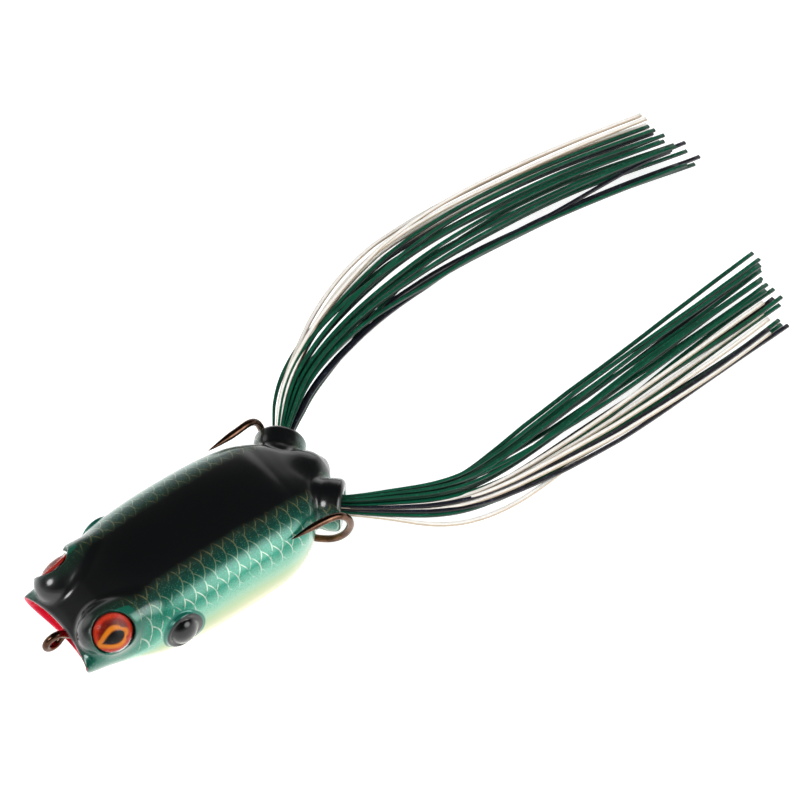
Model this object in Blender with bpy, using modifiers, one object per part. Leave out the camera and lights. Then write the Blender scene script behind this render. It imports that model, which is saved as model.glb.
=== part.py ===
"""Hollow-body popping frog lure: soft shell, double hook, keel weight, 3-D eyes and two skirt legs.

Metres, +Z up. The nose points to -Y, the skirt trails to +Y, the frog's left side is +X,
and the flat of the belly lies on z = 0.
"""
import math

import bmesh
import bpy
from mathutils import Matrix, Vector

MM = 0.001

# Body. Each station is a cross-section, in millimetres:
# y, half width, height of the widest line, top, bottom, squareness (2 is an ellipse).
STATIONS = [
    (-31.7, 10.2, 9.5, 11.6, 3.0, 2.0),
    (-29.5, 10.4, 9.5, 13.4, 2.3, 2.1),
    (-26.5, 10.7, 9.5, 15.3, 1.7, 2.2),
    (-22.0, 11.5, 9.5, 17.2, 0.8, 2.3),
    (-16.0, 13.5, 9.6, 18.9, -0.1, 2.5),
    (-8.0, 14.4, 9.7, 19.7, -0.55, 2.6),
    (1.0, 14.5, 9.8, 19.9, -0.6, 2.7),
    (9.0, 14.4, 9.8, 19.8, -0.5, 2.6),
    (15.0, 13.8, 9.8, 19.3, -0.05, 2.5),
    (17.8, 13.2, 9.9, 18.6, 0.6, 2.4),
    (19.6, 11.6, 10.1, 18.1, 1.2, 2.3),
    (21.8, 9.0, 10.4, 17.4, 2.2, 2.2),
    (24.2, 6.4, 10.7, 16.4, 4.0, 2.1),
    (26.5, 4.6, 11.0, 15.3, 6.0, 2.0),
    (28.2, 3.0, 11.3, 13.8, 8.4, 2.0),
    (28.9, 1.4, 11.4, 12.4, 10.3, 2.0),
]
RINGS_PER_STATION = 3
POINTS_AROUND = 48
WALL = 1.3
CORNER_LEAD = 8.0           # length over which the lip's curve fades into flat sections
UPPER_LIP_RECESS = 1.4
LOWER_LIP_RECESS = 3.0
LIP_WALL = 0.8
CUP_DEPTH = 6.6
UPPER_LIP_SHARE = 0.3       # part of the upper recess that the lower lip keeps
LIP_CURVE = 1.5
MOUTH_MIDDLE = 7.6
CUP_RING_DEPTHS = (-2.0, 0.0, 1.5, 3.0, 4.3, 5.3, 6.1)
CUP_CUTTER_LEAD = 3.0
TAIL_CAP = 0.35
SMALLEST_REACH = 0.05
CAVITY_START = -21.0
CAVITY_END = 26.6
CAVITY_FRONT_TIP = (0.0, -21.6, 9.5)
CAVITY_BACK_TIP = (0.0, 26.9, 11.0)

# Eyes
EYE_CENTRE = (9.0, -24.9, 14.5)          # middle of the seat that the foil lies on
EYE_NORMAL = (0.80, -0.20, 0.565)
EYE_RADIUS = 3.75
EYE_SEAT_GAP = 0.3
EYE_DOME_HEIGHT = 1.7
EYE_SEAT_LENGTH = 6.0
FOIL_THICKNESS = 0.4
DOME_GAP = 0.1
DOME_RIM = 0.25
DOME_STEPS = 8
BULGE_CENTRE = (7.8, -25.0, 13.6)
BULGE_HEIGHT = 3.3
BULGE_REACH = 5.0

# Drum discs behind the eyes
DRUM_CENTRE = (13.6, -12.6, 9.9)
DRUM_RING_RADIUS = 3.3
DRUM_RING_THICKNESS = 0.55
DRUM_RING_STRETCH = 1.12    # the ring is a little taller than it is long
DRUM_DOME = (2.1, 2.6, 2.95)

# Leg ports and legs
PORT_MOUTH = (9.8, 26.6, 11.6)
PORT_ANGLE = math.radians(45)
PORT_RADIUS = 5.0
PORT_LENGTH = 6.5
# The collar's outline from its mouth inwards: how far inside the port's radius, and how deep.
COLLAR_OUTLINE = ((1.2, 0.0), (0.45, 0.25), (0.05, 0.9), (0.0, 1.8), (0.35, 3.2), (0.2, 4.4))
PORT_BORE = 3.4
BORE_LEAD = 2.0
BORE_DEPTH = 9.0
PIVOT_DEPTH = 2.2
BAND_RADIUS = 3.05
BAND_HALF_LENGTH = 1.7
BAND_HOLE = 2.4

TAIL_BUMP_CENTRE = (0.0, 25.7, 11.9)
TAIL_BUMP_RADIUS = 4.1

# Double hook
WIRE = 0.70
SHANK_SPREAD = 0.82
EYE_LOOP_RADIUS = 2.2
EYE_LOOP_CENTRE = (-31.6, 7.5)
EYE_LOOP_TURNS = 20
EYE_LOOP_START = math.radians(-52)
EYE_LOOP_SWEEP = math.radians(-256)
# One side's wire from the line tie to the point, frog's left: x, y, z.
HOOK_ROUTE = [
    (0.82, -29.0, 7.4),
    (0.82, -22.0, 6.2),
    (0.82, -8.0, 4.4),
    (0.82, 2.0, 3.4),
    (0.85, 12.0, 3.1),
    (1.9, 17.0, 2.7),
    (4.8, 20.4, 2.1),
    (8.0, 22.4, 2.9),
    (10.6, 23.8, 4.6),
    (12.6, 24.9, 7.4),
    (13.8, 25.2, 11.0),
    (14.1, 24.3, 14.1),
    (13.8, 22.3, 16.0),
    (13.3, 18.6, 16.3),
    (13.0, 12.3, 16.1),
]
GROOVE_GAP = 0.35           # the shell's grooves are this much wider than the wire all round
WIRE_STEPS = 3              # points of wire for each point of the route
GROOVED_RUN = slice(15, 27)  # the points of wire that lie in the shell's grooves
SHANK_SLOT = ((0.0, -27.5, 7.1), (0.0, -18.5, 5.6))
SHANK_SLOT_RADIUS = 1.1
SHANK_SLOT_STRETCH = 1.75
POINT_TAPER = 5.2
POINT_CURVE = 0.8
POINT_TIP = 0.1
BARB_BACK = 5.6
BARB_INSET = (0.0, 0.0, -0.3)
BARB_LEAN = (0.0, 0.0, -0.42)
BARB_RADIUS = 0.5
BARB_TIP_RADIUS = 0.03
BARB_LENGTH = 1.9

# Keel weight
WEIGHT_SIZE = (7.0, 12.0, 4.0)
WEIGHT_CENTRE = (0.0, 6.5, 3.4)
WEIGHT_ROUNDING = 1.3
WEIGHT_SLOT = ((0.0, -2.0, 3.6), (0.0, 14.0, 3.05))
WEIGHT_SLOT_RADIUS = 1.05
WEIGHT_SLOT_STRETCH = 1.85

# Skirt strands
STRANDS_PER_LEG = 25
SLOT_PITCH = 0.33
GOLDEN_ANGLE = math.pi * (3 - math.sqrt(5))
STRAND_ROOT_RADIUS = 0.24
STRAND_RADIUS = 0.32
STRAND_POINTS = 18
STRAND_TAIL = 2.6           # length of strand behind the port's pivot
STRAND_COLOURS = {
    "green": (0.012, 0.13, 0.085),
    "dark": (0.015, 0.02, 0.03),
    "white": (0.75, 0.74, 0.70),
}
# One letter per strand across each leg, from the frog's right to its left.
STRAND_ORDER = {
    "left": "gggdggdgggggdgwdwggwdgwdw",
    "right": "wwwwwgdggdgggdgggdggdggdd",
}
# Middle line of each leg beyond its port mouth: x, y, z.
LEG_ROUTES = {
    "left": [
        (12.6, 30.0, 11.9), (15.8, 35.4, 11.6), (18.8, 41.0, 11.1), (21.0, 47.9, 10.6),
        (21.7, 57.2, 10.1), (21.3, 70.0, 9.5), (20.2, 86.0, 8.7), (18.4, 108.0, 7.8),
        (15.9, 134.0, 6.9),
    ],
    "right": [
        (-13.6, 30.6, 12.0), (-18.6, 36.5, 11.8), (-22.8, 44.1, 11.4), (-26.5, 53.3, 10.9),
        (-29.4, 64.6, 10.4), (-31.4, 78.0, 9.7), (-31.8, 94.0, 8.9), (-30.3, 115.0, 8.0),
        (-26.0, 141.5, 7.1),
    ],
}
LINE_STEPS = 8
FAN_START = 9.0             # the fan opens slowly over about this length
FAN_WIDTH = {"left": 0.62, "right": 0.56}   # widening per square root of the distance in mm
FAN_HEIGHT = 0.20
FULL_SIZE_REACH = 20.0      # the squeezed strands reach their full thickness this far out
LENGTH_SPREAD = 0.05
# The legs' ends are cut at a slant: shorter towards the frog's left, or right if below 0.
LENGTH_SLANT = {"left": 5.8, "right": -2.2}
POINT_CROWDING = 1.35       # the strands' points lie closer together near the port
WANDER = 0.08
WANDER_START = 30.0
WANDER_ACROSS = (9.0, 6.28)  # length of the waviness, and how it differs between strands
WANDER_ABOVE = (11.0, 9.0)
GOLDEN_STEP = 0.618034


def remove_start_objects():
    for item in list(bpy.data.objects):
        bpy.data.objects.remove(item, do_unlink=True)


def new_collection(name):
    collection = bpy.data.collections.new(name)
    bpy.context.scene.collection.children.link(collection)
    return collection


def material(name, colour, roughness, metallic=0.0):
    made = bpy.data.materials.get(name)
    if made is None:
        made = bpy.data.materials.new(name)
        made.use_nodes = True
        shader = made.node_tree.nodes["Principled BSDF"]
        shader.inputs["Base Color"].default_value = (*colour, 1.0)
        shader.inputs["Roughness"].default_value = roughness
        shader.inputs["Metallic"].default_value = metallic
    return made


def link_mesh(name, bm, collection):
    bmesh.ops.recalc_face_normals(bm, faces=bm.faces)
    mesh = bpy.data.meshes.new(name)
    bm.to_mesh(mesh)
    bm.free()
    made = bpy.data.objects.new(name, mesh)
    collection.objects.link(made)
    return made


def finish(item, surface, smooth=True):
    item.data.materials.clear()
    item.data.materials.append(surface)
    if smooth and item.type == "MESH":
        item.data.polygons.foreach_set("use_smooth", [True] * len(item.data.polygons))
    return item


def vector_mm(point):
    return Vector(point) * MM


def mirrored(point, side):
    """A point or direction given for the left side, moved to the named side."""
    return Vector((point[0] if side == "left" else -point[0], point[1], point[2]))


def catmull_rom(points, steps):
    """Smooth run through the points, with the given number of steps between neighbours."""
    ends = [2 * points[0] - points[1], *points, 2 * points[-1] - points[-2]]
    run = []
    for i in range(len(points) - 1):
        a, b, c, d = ends[i:i + 4]
        for k in range(steps):
            t = k / steps
            run.append(0.5 * (2 * b + (c - a) * t + (2 * a - 5 * b + 4 * c - d) * t * t
                              + (3 * b - a - 3 * c + d) * t ** 3))
    run.append(points[-1].copy())
    return run


def smooth_stations():
    rows = [Vector(row) for row in STATIONS]
    return catmull_rom(rows, RINGS_PER_STATION)


def section_point(station, angle, inset=0.0):
    """One point of a cross-section, pulled in by the inset, in millimetres."""
    y, half_width, middle, top, bottom, squareness = station
    c, s = math.cos(angle), math.sin(angle)
    power = 2.0 / squareness
    x = math.copysign(abs(c) ** power, c) * max(half_width - inset, SMALLEST_REACH)
    reach = (top - middle) if s > 0 else (middle - bottom)
    z = middle + math.copysign(abs(s) ** power, s) * max(reach - inset, SMALLEST_REACH)
    return Vector((x, y, z))


def lip_setback(point):
    """How far behind the mouth's corners the lip lies at this height."""
    first = STATIONS[0]
    across = max(0.0, 1.0 - (point.x / first[1]) ** 2)
    if point.z > first[2]:
        return UPPER_LIP_RECESS * across
    drop = (first[2] - point.z) / (first[2] - first[4])
    return LOWER_LIP_RECESS * min(1.0, drop) ** LIP_CURVE + UPPER_LIP_RECESS * across * UPPER_LIP_SHARE


def eye_bulge(point):
    """Outward push of the skin round both eyes."""
    push = Vector((0.0, 0.0, 0.0))
    for side in ("left", "right"):
        distance = (point - mirrored(BULGE_CENTRE, side)).length
        push += eye_axis(side) * BULGE_HEIGHT * math.exp(-(distance / BULGE_REACH) ** 2)
    return push


def outer_point(station, angle):
    point = section_point(station, angle)
    fade = max(0.0, 1.0 - (point.y - STATIONS[0][0]) / CORNER_LEAD)
    point.y += lip_setback(point) * fade
    point += eye_bulge(point)
    point.z = max(point.z, 0.0)
    return point


def loft(name, rings, front, back, collection):
    """Closed skin through the rings, ending in a point at each end. Millimetres in, metres out."""
    bm = bmesh.new()
    loops = [[bm.verts.new(p * MM) for p in ring] for ring in rings]
    count = len(loops[0])
    for one, two in zip(loops, loops[1:]):
        for i in range(count):
            j = (i + 1) % count
            bm.faces.new((one[i], one[j], two[j], two[i]))
    for loop, tip in ((loops[0], front), (loops[-1], back)):
        centre = bm.verts.new(tip * MM)
        for i in range(count):
            bm.faces.new((loop[i], loop[(i + 1) % count], centre))
    return link_mesh(name, bm, collection)


def body_skin(collection):
    angles = [2 * math.pi * i / POINTS_AROUND for i in range(POINTS_AROUND)]
    rings = [[outer_point(station, a) for a in angles] for station in smooth_stations()]
    last = STATIONS[-1]
    front = Vector((0.0, STATIONS[0][0] + UPPER_LIP_RECESS, MOUTH_MIDDLE))
    back = Vector((0.0, last[0] + TAIL_CAP, last[2]))
    return loft("body_shell", rings, front, back, collection)


def body_hollow(cutters):
    """The air space inside the shell, from behind the mouth cup to the tail."""
    angles = [2 * math.pi * i / (POINTS_AROUND // 2) for i in range(POINTS_AROUND // 2)]
    rings = []
    for station in smooth_stations():
        if CAVITY_START < station[0] < CAVITY_END:
            ring = [section_point(station, a, WALL) for a in angles]
            for p in ring:
                p.z = max(p.z, WALL)
            rings.append(ring)
    return loft("hollow_cutter", rings, Vector(CAVITY_FRONT_TIP), Vector(CAVITY_BACK_TIP), cutters)


def mouth_cup(cutters):
    """The hollow of the popping mouth: the lip's outline shrinking to a point."""
    first = Vector(STATIONS[0])
    angles = [2 * math.pi * i / (POINTS_AROUND // 2) for i in range(POINTS_AROUND // 2)]
    rings = []
    for depth in CUP_RING_DEPTHS:
        shrink = math.sqrt(max(0.0, 1.0 - (max(depth, 0.0) / CUP_DEPTH) ** 2))
        ring = []
        for a in angles:
            p = section_point(first, a, LIP_WALL)
            setback = lip_setback(p)
            centre = Vector((0.0, p.y, MOUTH_MIDDLE))
            p = centre + (p - centre) * shrink
            p.y += depth + setback * (1.0 if depth <= 0 else shrink)
            ring.append(p)
        rings.append(ring)
    front = Vector((0.0, first[0] - CUP_CUTTER_LEAD, MOUTH_MIDDLE))
    back = Vector((0.0, first[0] + CUP_DEPTH, MOUTH_MIDDLE))
    return loft("mouth_cutter", rings, front, back, cutters)


def claim(item, name, collection):
    """Name a freshly added primitive and keep it in one collection only."""
    item.name = name
    for other in list(item.users_collection):
        other.objects.unlink(item)
    collection.objects.link(item)
    return item


def turned(name, outline, collection, steps=32):
    """A solid turned about Z from an outline of (radius, height) pairs in millimetres."""
    mesh = bpy.data.meshes.new(name)
    vertices = [(r * MM, 0.0, h * MM) for r, h in outline]
    edges = [(i, i + 1) for i in range(len(vertices) - 1)]
    if outline[0][0] > 0:
        edges.append((len(vertices) - 1, 0))
    mesh.from_pydata(vertices, edges, [])
    item = bpy.data.objects.new(name, mesh)
    collection.objects.link(item)
    screw = item.modifiers.new("turn", "SCREW")
    screw.steps = steps
    screw.render_steps = steps
    screw.use_merge_vertices = True
    screw.merge_threshold = 0.00001
    screw.use_normal_calculate = True
    return baked(item)


def baked(item):
    """Replace an object's modifiers or curve with plain mesh, kept in place."""
    bpy.context.view_layer.update()
    source = item.evaluated_get(bpy.context.evaluated_depsgraph_get())
    mesh = bpy.data.meshes.new_from_object(source)
    bm = bmesh.new()
    bm.from_mesh(mesh)
    bmesh.ops.remove_doubles(bm, verts=bm.verts, dist=0.000002)
    bmesh.ops.recalc_face_normals(bm, faces=bm.faces)
    bm.to_mesh(mesh)
    bm.free()
    made = bpy.data.objects.new(item.name, mesh)
    made.matrix_world = item.matrix_world.copy()
    for collection in item.users_collection:
        collection.objects.link(made)
    name = item.name
    bpy.data.objects.remove(item, do_unlink=True)
    made.name = name
    return made


def aim(item, position, direction):
    """Put an object made about Z at a place in millimetres, its Z along the direction."""
    turn = Vector(direction).to_track_quat("Z", "Y").to_matrix().to_4x4()
    item.matrix_world = Matrix.Translation(vector_mm(position)) @ turn
    bpy.context.view_layer.update()


def combine(item, other, operation):
    boolean = item.modifiers.new(operation.lower(), "BOOLEAN")
    boolean.operation = operation
    boolean.solver = "EXACT"
    boolean.object = other
    other.hide_render = True
    other.display_type = "WIRE"


def port_direction(side):
    return mirrored((math.sin(PORT_ANGLE), math.cos(PORT_ANGLE), 0.0), side)


def port_collar(side, cutters):
    """The short rounded tube that a leg comes out of, made along Z with its mouth at 0."""
    outline = [(0.0, 0.0), *((PORT_RADIUS - inside, -deep) for inside, deep in COLLAR_OUTLINE)]
    outline += [(outline[-1][0], -PORT_LENGTH), (0.0, -PORT_LENGTH)]
    collar = turned(side + "_collar", outline, cutters)
    aim(collar, mirrored(PORT_MOUTH, side), port_direction(side))
    return collar


def rod(name, radius, start, end, cutters, vertices=32):
    """A plain round cutter between two places in millimetres."""
    start, end = Vector(start), Vector(end)
    length = (end - start).length
    bpy.ops.mesh.primitive_cylinder_add(vertices=vertices, radius=radius * MM, depth=length * MM)
    item = claim(bpy.context.active_object, name, cutters)
    aim(item, (start + end) / 2, end - start)
    return item


def shank_slot(cutters):
    """The flat hole through the nose that both shanks run in."""
    slot = rod("shank_slot_cutter", SHANK_SLOT_RADIUS, *SHANK_SLOT, cutters, 24)
    slot.scale = (SHANK_SLOT_STRETCH, 1.0, 1.0)
    bpy.context.view_layer.update()
    return slot


def drum_disc(side, cutters):
    """The raised ring and dome moulded behind each eye."""
    ring_centre = mirrored(DRUM_CENTRE, side)
    bpy.ops.mesh.primitive_torus_add(
        major_radius=DRUM_RING_RADIUS * MM, minor_radius=DRUM_RING_THICKNESS * MM,
        major_segments=32, minor_segments=10, location=vector_mm(ring_centre),
        rotation=(0.0, math.pi / 2, 0.0))
    ring = claim(bpy.context.active_object, side + "_drum_ring", cutters)
    ring.scale = (DRUM_RING_STRETCH, 1.0, 1.0)
    bpy.ops.mesh.primitive_uv_sphere_add(segments=20, ring_count=12, radius=MM,
                                         location=vector_mm(ring_centre))
    dome = claim(bpy.context.active_object, side + "_drum_dome", cutters)
    dome.scale = DRUM_DOME
    bpy.context.view_layer.update()
    return ring, dome


def tail_bump(cutters):
    """The round bump at the tail, between the leg ports."""
    bpy.ops.mesh.primitive_uv_sphere_add(segments=24, ring_count=14, radius=TAIL_BUMP_RADIUS * MM,
                                         location=vector_mm(TAIL_BUMP_CENTRE))
    return claim(bpy.context.active_object, "tail_bump", cutters)


def wire_route(side):
    points = [mirrored(p, side) for p in HOOK_ROUTE]
    return catmull_rom(points, WIRE_STEPS)


def hook_wire_points():
    """The whole double hook as one run of wire: right point, line tie loop, left point."""
    loop = []
    centre_y, centre_z = EYE_LOOP_CENTRE
    for k in range(EYE_LOOP_TURNS + 1):
        t = k / EYE_LOOP_TURNS
        a = EYE_LOOP_START + EYE_LOOP_SWEEP * t
        across = -SHANK_SPREAD + 2 * SHANK_SPREAD * t
        loop.append(Vector((across, centre_y + EYE_LOOP_RADIUS * math.cos(a),
                            centre_z + EYE_LOOP_RADIUS * math.sin(a))))
    return list(reversed(wire_route("right"))) + loop + wire_route("left")


def wire_radii(points):
    """Full thickness everywhere but the last stretch at each end, which tapers to the point."""
    radii = []
    for p in points:
        nearest = min((p - points[0]).length, (p - points[-1]).length)
        radii.append(max(POINT_TIP, min(1.0, (nearest / POINT_TAPER) ** POINT_CURVE)))
    return radii


def tube(name, points, depth, radii, resolution, collection):
    """A filled POLY tube through points in millimetres."""
    curve = bpy.data.curves.new(name, "CURVE")
    curve.dimensions = "3D"
    curve.bevel_depth = depth * MM
    curve.bevel_resolution = resolution
    curve.use_fill_caps = True
    curve.twist_mode = "Z_UP"
    spline = curve.splines.new("POLY")
    spline.points.add(len(points) - 1)
    for place, point, radius in zip(spline.points, points, radii):
        place.co = (*(point * MM), 1.0)
        place.radius = radius
    item = bpy.data.objects.new(name, curve)
    collection.objects.link(item)
    return item


def barb(side, points, cutters):
    """A small spike cut up from the inner side of the wire, pointing away from the tip."""
    tip, inner = points[0], points[4]
    along = (inner - tip).normalized()
    root = tip + along * BARB_BACK
    bpy.ops.mesh.primitive_cone_add(vertices=8, radius1=BARB_RADIUS * MM,
                                    radius2=BARB_TIP_RADIUS * MM, depth=BARB_LENGTH * MM)
    spike = claim(bpy.context.active_object, side + "_barb", cutters)
    lean = (along + Vector(BARB_LEAN)).normalized()
    aim(spike, root + Vector(BARB_INSET), lean)
    return spike


def build_hook(parts, cutters):
    points = hook_wire_points()
    wire = baked(tube("double_hook", points, WIRE, wire_radii(points), 3, parts))
    for side, run in (("right", points), ("left", list(reversed(points)))):
        combine(wire, barb(side, run, cutters), "UNION")
    return finish(wire, material("dark bronze wire", (0.12, 0.085, 0.06), 0.25, 0.9))


def build_shell(parts, cutters):
    shell = body_skin(parts)
    for side in ("left", "right"):
        combine(shell, port_collar(side, cutters), "UNION")
    for side in ("left", "right"):
        for piece in drum_disc(side, cutters):
            combine(shell, piece, "UNION")
    combine(shell, tail_bump(cutters), "UNION")
    combine(shell, body_hollow(cutters), "DIFFERENCE")
    combine(shell, mouth_cup(cutters), "DIFFERENCE")
    combine(shell, shank_slot(cutters), "DIFFERENCE")
    for side in ("left", "right"):
        mouth = mirrored(PORT_MOUTH, side)
        along = port_direction(side)
        ends = (mouth + along * BORE_LEAD, mouth - along * BORE_DEPTH)
        bore = rod(side + "_port_cutter", PORT_BORE, *ends, cutters)
        combine(shell, bore, "DIFFERENCE")
        seat_floor = mirrored(EYE_CENTRE, side)
        ends = (seat_floor, seat_floor + eye_axis(side) * EYE_SEAT_LENGTH)
        seat = rod(side + "_eye_seat", EYE_RADIUS + EYE_SEAT_GAP, *ends, cutters)
        combine(shell, seat, "DIFFERENCE")
        route = wire_route(side)[GROOVED_RUN]
        full = [1.0] * len(route)
        groove = baked(tube(side + "_shank_groove", route, WIRE + GROOVE_GAP, full, 3, cutters))
        combine(shell, groove, "DIFFERENCE")
    return finish(shell, material("soft body skin", (0.02, 0.19, 0.14), 0.3))


def eye_axis(side):
    return mirrored(EYE_NORMAL, side).normalized()


def build_eye(side, parts):
    foil_base = mirrored(EYE_CENTRE, side) + eye_axis(side) * EYE_SEAT_GAP
    r = EYE_RADIUS
    disc = [(0.0, FOIL_THICKNESS), (r, FOIL_THICKNESS), (r, 0.0), (0.0, 0.0)]
    foil = turned(side + "_eye_foil", disc, parts)
    aim(foil, foil_base, eye_axis(side))
    finish(foil, material("printed eye foil", (0.62, 0.10, 0.02), 0.3, 0.3))
    sphere = (r * r + EYE_DOME_HEIGHT ** 2) / (2 * EYE_DOME_HEIGHT)
    half = math.asin(r / sphere)
    angles = [half * k / DOME_STEPS for k in range(DOME_STEPS + 1)]
    lift = EYE_DOME_HEIGHT - sphere
    arc = [(sphere * math.sin(a), sphere * math.cos(a) + lift) for a in angles]
    arc[-1] = (r, DOME_RIM)
    dome = turned(side + "_eye_dome", arc + [(r, 0.0), (0.0, 0.0)], parts)
    aim(dome, foil_base + eye_axis(side) * (FOIL_THICKNESS + DOME_GAP), eye_axis(side))
    finish(dome, material("clear dome", (0.9, 0.9, 0.9), 0.03))


def build_weight(parts, cutters):
    bm = bmesh.new()
    bmesh.ops.create_cube(bm, size=1.0)
    scale = Matrix.Diagonal((*(Vector(WEIGHT_SIZE) * MM), 1.0))
    bmesh.ops.transform(bm, matrix=scale, verts=bm.verts)
    weight = link_mesh("keel_weight", bm, parts)
    weight.location = vector_mm(WEIGHT_CENTRE)
    bevel = weight.modifiers.new("rounded", "BEVEL")
    bevel.width = WEIGHT_ROUNDING * MM
    bevel.segments = 3
    slot = rod("weight_slot_cutter", WEIGHT_SLOT_RADIUS, *WEIGHT_SLOT, cutters, 24)
    slot.scale = (WEIGHT_SLOT_STRETCH, 1.0, 1.0)
    bpy.context.view_layer.update()
    combine(weight, slot, "DIFFERENCE")
    return finish(weight, material("cast lead", (0.27, 0.27, 0.29), 0.55, 0.8))


def pivot_place(side):
    return mirrored(PORT_MOUTH, side) - port_direction(side) * PIVOT_DEPTH


def leg_pivot(side, parts):
    pivot = bpy.data.objects.new(side + "_leg_pivot", None)
    pivot.location = vector_mm(pivot_place(side))
    parts.objects.link(pivot)
    return pivot


def hold(item, pivot):
    item.parent = pivot
    item.matrix_parent_inverse = Matrix.Identity(4)


def build_band(side, pivot, parts):
    """Rubber band round the strands: a short barrel that can roll in the port's bore."""
    end = math.asin(BAND_HALF_LENGTH / BAND_RADIUS)
    arc = [(BAND_RADIUS * math.cos(a), BAND_RADIUS * math.sin(a))
           for a in (end - 2 * end * k / 10 for k in range(11))]
    outline = [(BAND_HOLE, BAND_HALF_LENGTH), *arc, (BAND_HOLE, -BAND_HALF_LENGTH)]
    band = turned(side + "_skirt_band", outline, parts)
    aim(band, (0, 0, 0), port_direction(side))
    hold(band, pivot)
    finish(band, material("black rubber", (0.02, 0.02, 0.02), 0.7))


def leg_line(side):
    """The middle line of a leg as evenly spaced points from its tail to its tip."""
    mouth = mirrored(PORT_MOUTH, side)
    along = port_direction(side)
    tail = pivot_place(side) - along * STRAND_TAIL
    route = [tail, pivot_place(side), mouth] + [Vector(p) for p in LEG_ROUTES[side]]
    return catmull_rom(route, LINE_STEPS)


def along_line(line, lengths, distance):
    """Place and direction at a distance along a polyline."""
    i = 1
    while i < len(line) - 1 and lengths[i] < distance:
        i += 1
    t = (distance - lengths[i - 1]) / (lengths[i] - lengths[i - 1])
    place = line[i - 1].lerp(line[i], t)
    before, after = line[max(i - 2, 0)], line[min(i + 1, len(line) - 1)]
    return place, (after - before).normalized()


def fan(distance, rate):
    """How much wider the bundle is than in its band, at a distance from the port mouth."""
    reach = max(0.0, distance)
    return 1.0 + rate * (math.sqrt(FAN_START + reach) - math.sqrt(FAN_START))


def wave(distance, own, shape):
    length, difference = shape
    return math.sin(distance / length + difference * own)


def strand_points(side, index):
    """Points of one strand, relative to its leg's pivot."""
    line = leg_line(side)
    lengths = [0.0]
    for one, two in zip(line, line[1:]):
        lengths.append(lengths[-1] + (two - one).length)
    total = lengths[-1]
    ring = SLOT_PITCH * math.sqrt(index + 0.5)
    angle = GOLDEN_ANGLE * index
    across, above = ring * math.cos(angle), ring * math.sin(angle)
    own = (index * GOLDEN_STEP) % 1.0
    slant = LENGTH_SLANT[side]
    share = across / (SLOT_PITCH * math.sqrt(STRANDS_PER_LEG))
    reach = total * (1.0 - LENGTH_SPREAD * own) - abs(slant) - slant * share
    exit_distance = STRAND_TAIL + PIVOT_DEPTH
    points, radii = [], []
    for k in range(STRAND_POINTS):
        distance = reach * (k / (STRAND_POINTS - 1)) ** POINT_CROWDING
        place, direction = along_line(line, lengths, distance)
        out = distance - exit_distance
        sideways = direction.cross(Vector((0.0, 0.0, 1.0))).normalized()
        upward = sideways.cross(direction).normalized()
        ripple = WANDER * min(1.0, max(0.0, out) / WANDER_START)
        place = place + sideways * (across * fan(out, FAN_WIDTH[side])
                                    + ripple * wave(out, own, WANDER_ACROSS))
        place = place + upward * (above * fan(out, FAN_HEIGHT)
                                  + ripple * wave(out, own, WANDER_ABOVE))
        points.append(place - pivot_place(side))
        full = min(1.0, max(0.0, out) / FULL_SIZE_REACH)
        slim = STRAND_ROOT_RADIUS / STRAND_RADIUS
        radii.append(slim + (1.0 - slim) * full)
    return points, radii


def strand_colour(side, index):
    """Colour by the strand's place across its leg, from the frog's right to its left."""
    places = [math.sqrt(k + 0.5) * math.cos(GOLDEN_ANGLE * k) for k in range(STRANDS_PER_LEG)]
    rank = sorted(places).index(places[index])
    return {"g": "green", "d": "dark", "w": "white"}[STRAND_ORDER[side][rank]]


def build_leg(side, parts):
    pivot = leg_pivot(side, parts)
    build_band(side, pivot, parts)
    for index in range(STRANDS_PER_LEG):
        points, radii = strand_points(side, index)
        strand = tube("%s_strand_%02d" % (side, index + 1), points, STRAND_RADIUS, radii, 0, parts)
        hold(strand, pivot)
        tone = strand_colour(side, index)
        finish(strand, material(tone + " silicone", STRAND_COLOURS[tone], 0.4))


def main():
    remove_start_objects()
    parts = new_collection("topwater_popper")
    cutters = new_collection("cutters")
    build_shell(parts, cutters)
    build_hook(parts, cutters)
    build_weight(parts, cutters)
    for side in ("left", "right"):
        build_eye(side, parts)
        build_leg(side, parts)
    cutters.hide_render = True


main()
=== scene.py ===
"""Topwater popper: the finished looks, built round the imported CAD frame.

Lengths are worked out in millimetres in the row frame (origin under the belly, +Y to the tail,
+Z up, frog's left on +X) and turned into metres when a mesh is made.
"""
import math

import bpy
import numpy as np
from mathutils import Matrix, Vector


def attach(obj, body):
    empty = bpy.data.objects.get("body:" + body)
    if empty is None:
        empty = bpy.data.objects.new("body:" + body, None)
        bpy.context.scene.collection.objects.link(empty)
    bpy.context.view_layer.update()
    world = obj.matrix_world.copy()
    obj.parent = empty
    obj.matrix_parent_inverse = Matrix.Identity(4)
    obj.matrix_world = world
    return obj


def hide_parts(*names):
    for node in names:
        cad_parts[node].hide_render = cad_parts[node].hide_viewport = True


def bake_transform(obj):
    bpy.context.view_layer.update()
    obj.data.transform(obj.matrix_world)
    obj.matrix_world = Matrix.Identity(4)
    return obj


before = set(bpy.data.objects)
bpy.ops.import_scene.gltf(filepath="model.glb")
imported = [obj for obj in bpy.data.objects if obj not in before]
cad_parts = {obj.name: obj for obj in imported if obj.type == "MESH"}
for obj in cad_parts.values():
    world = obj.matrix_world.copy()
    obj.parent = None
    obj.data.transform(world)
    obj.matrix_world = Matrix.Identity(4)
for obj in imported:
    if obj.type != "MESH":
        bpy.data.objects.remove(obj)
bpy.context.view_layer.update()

MM = 0.001

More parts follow.
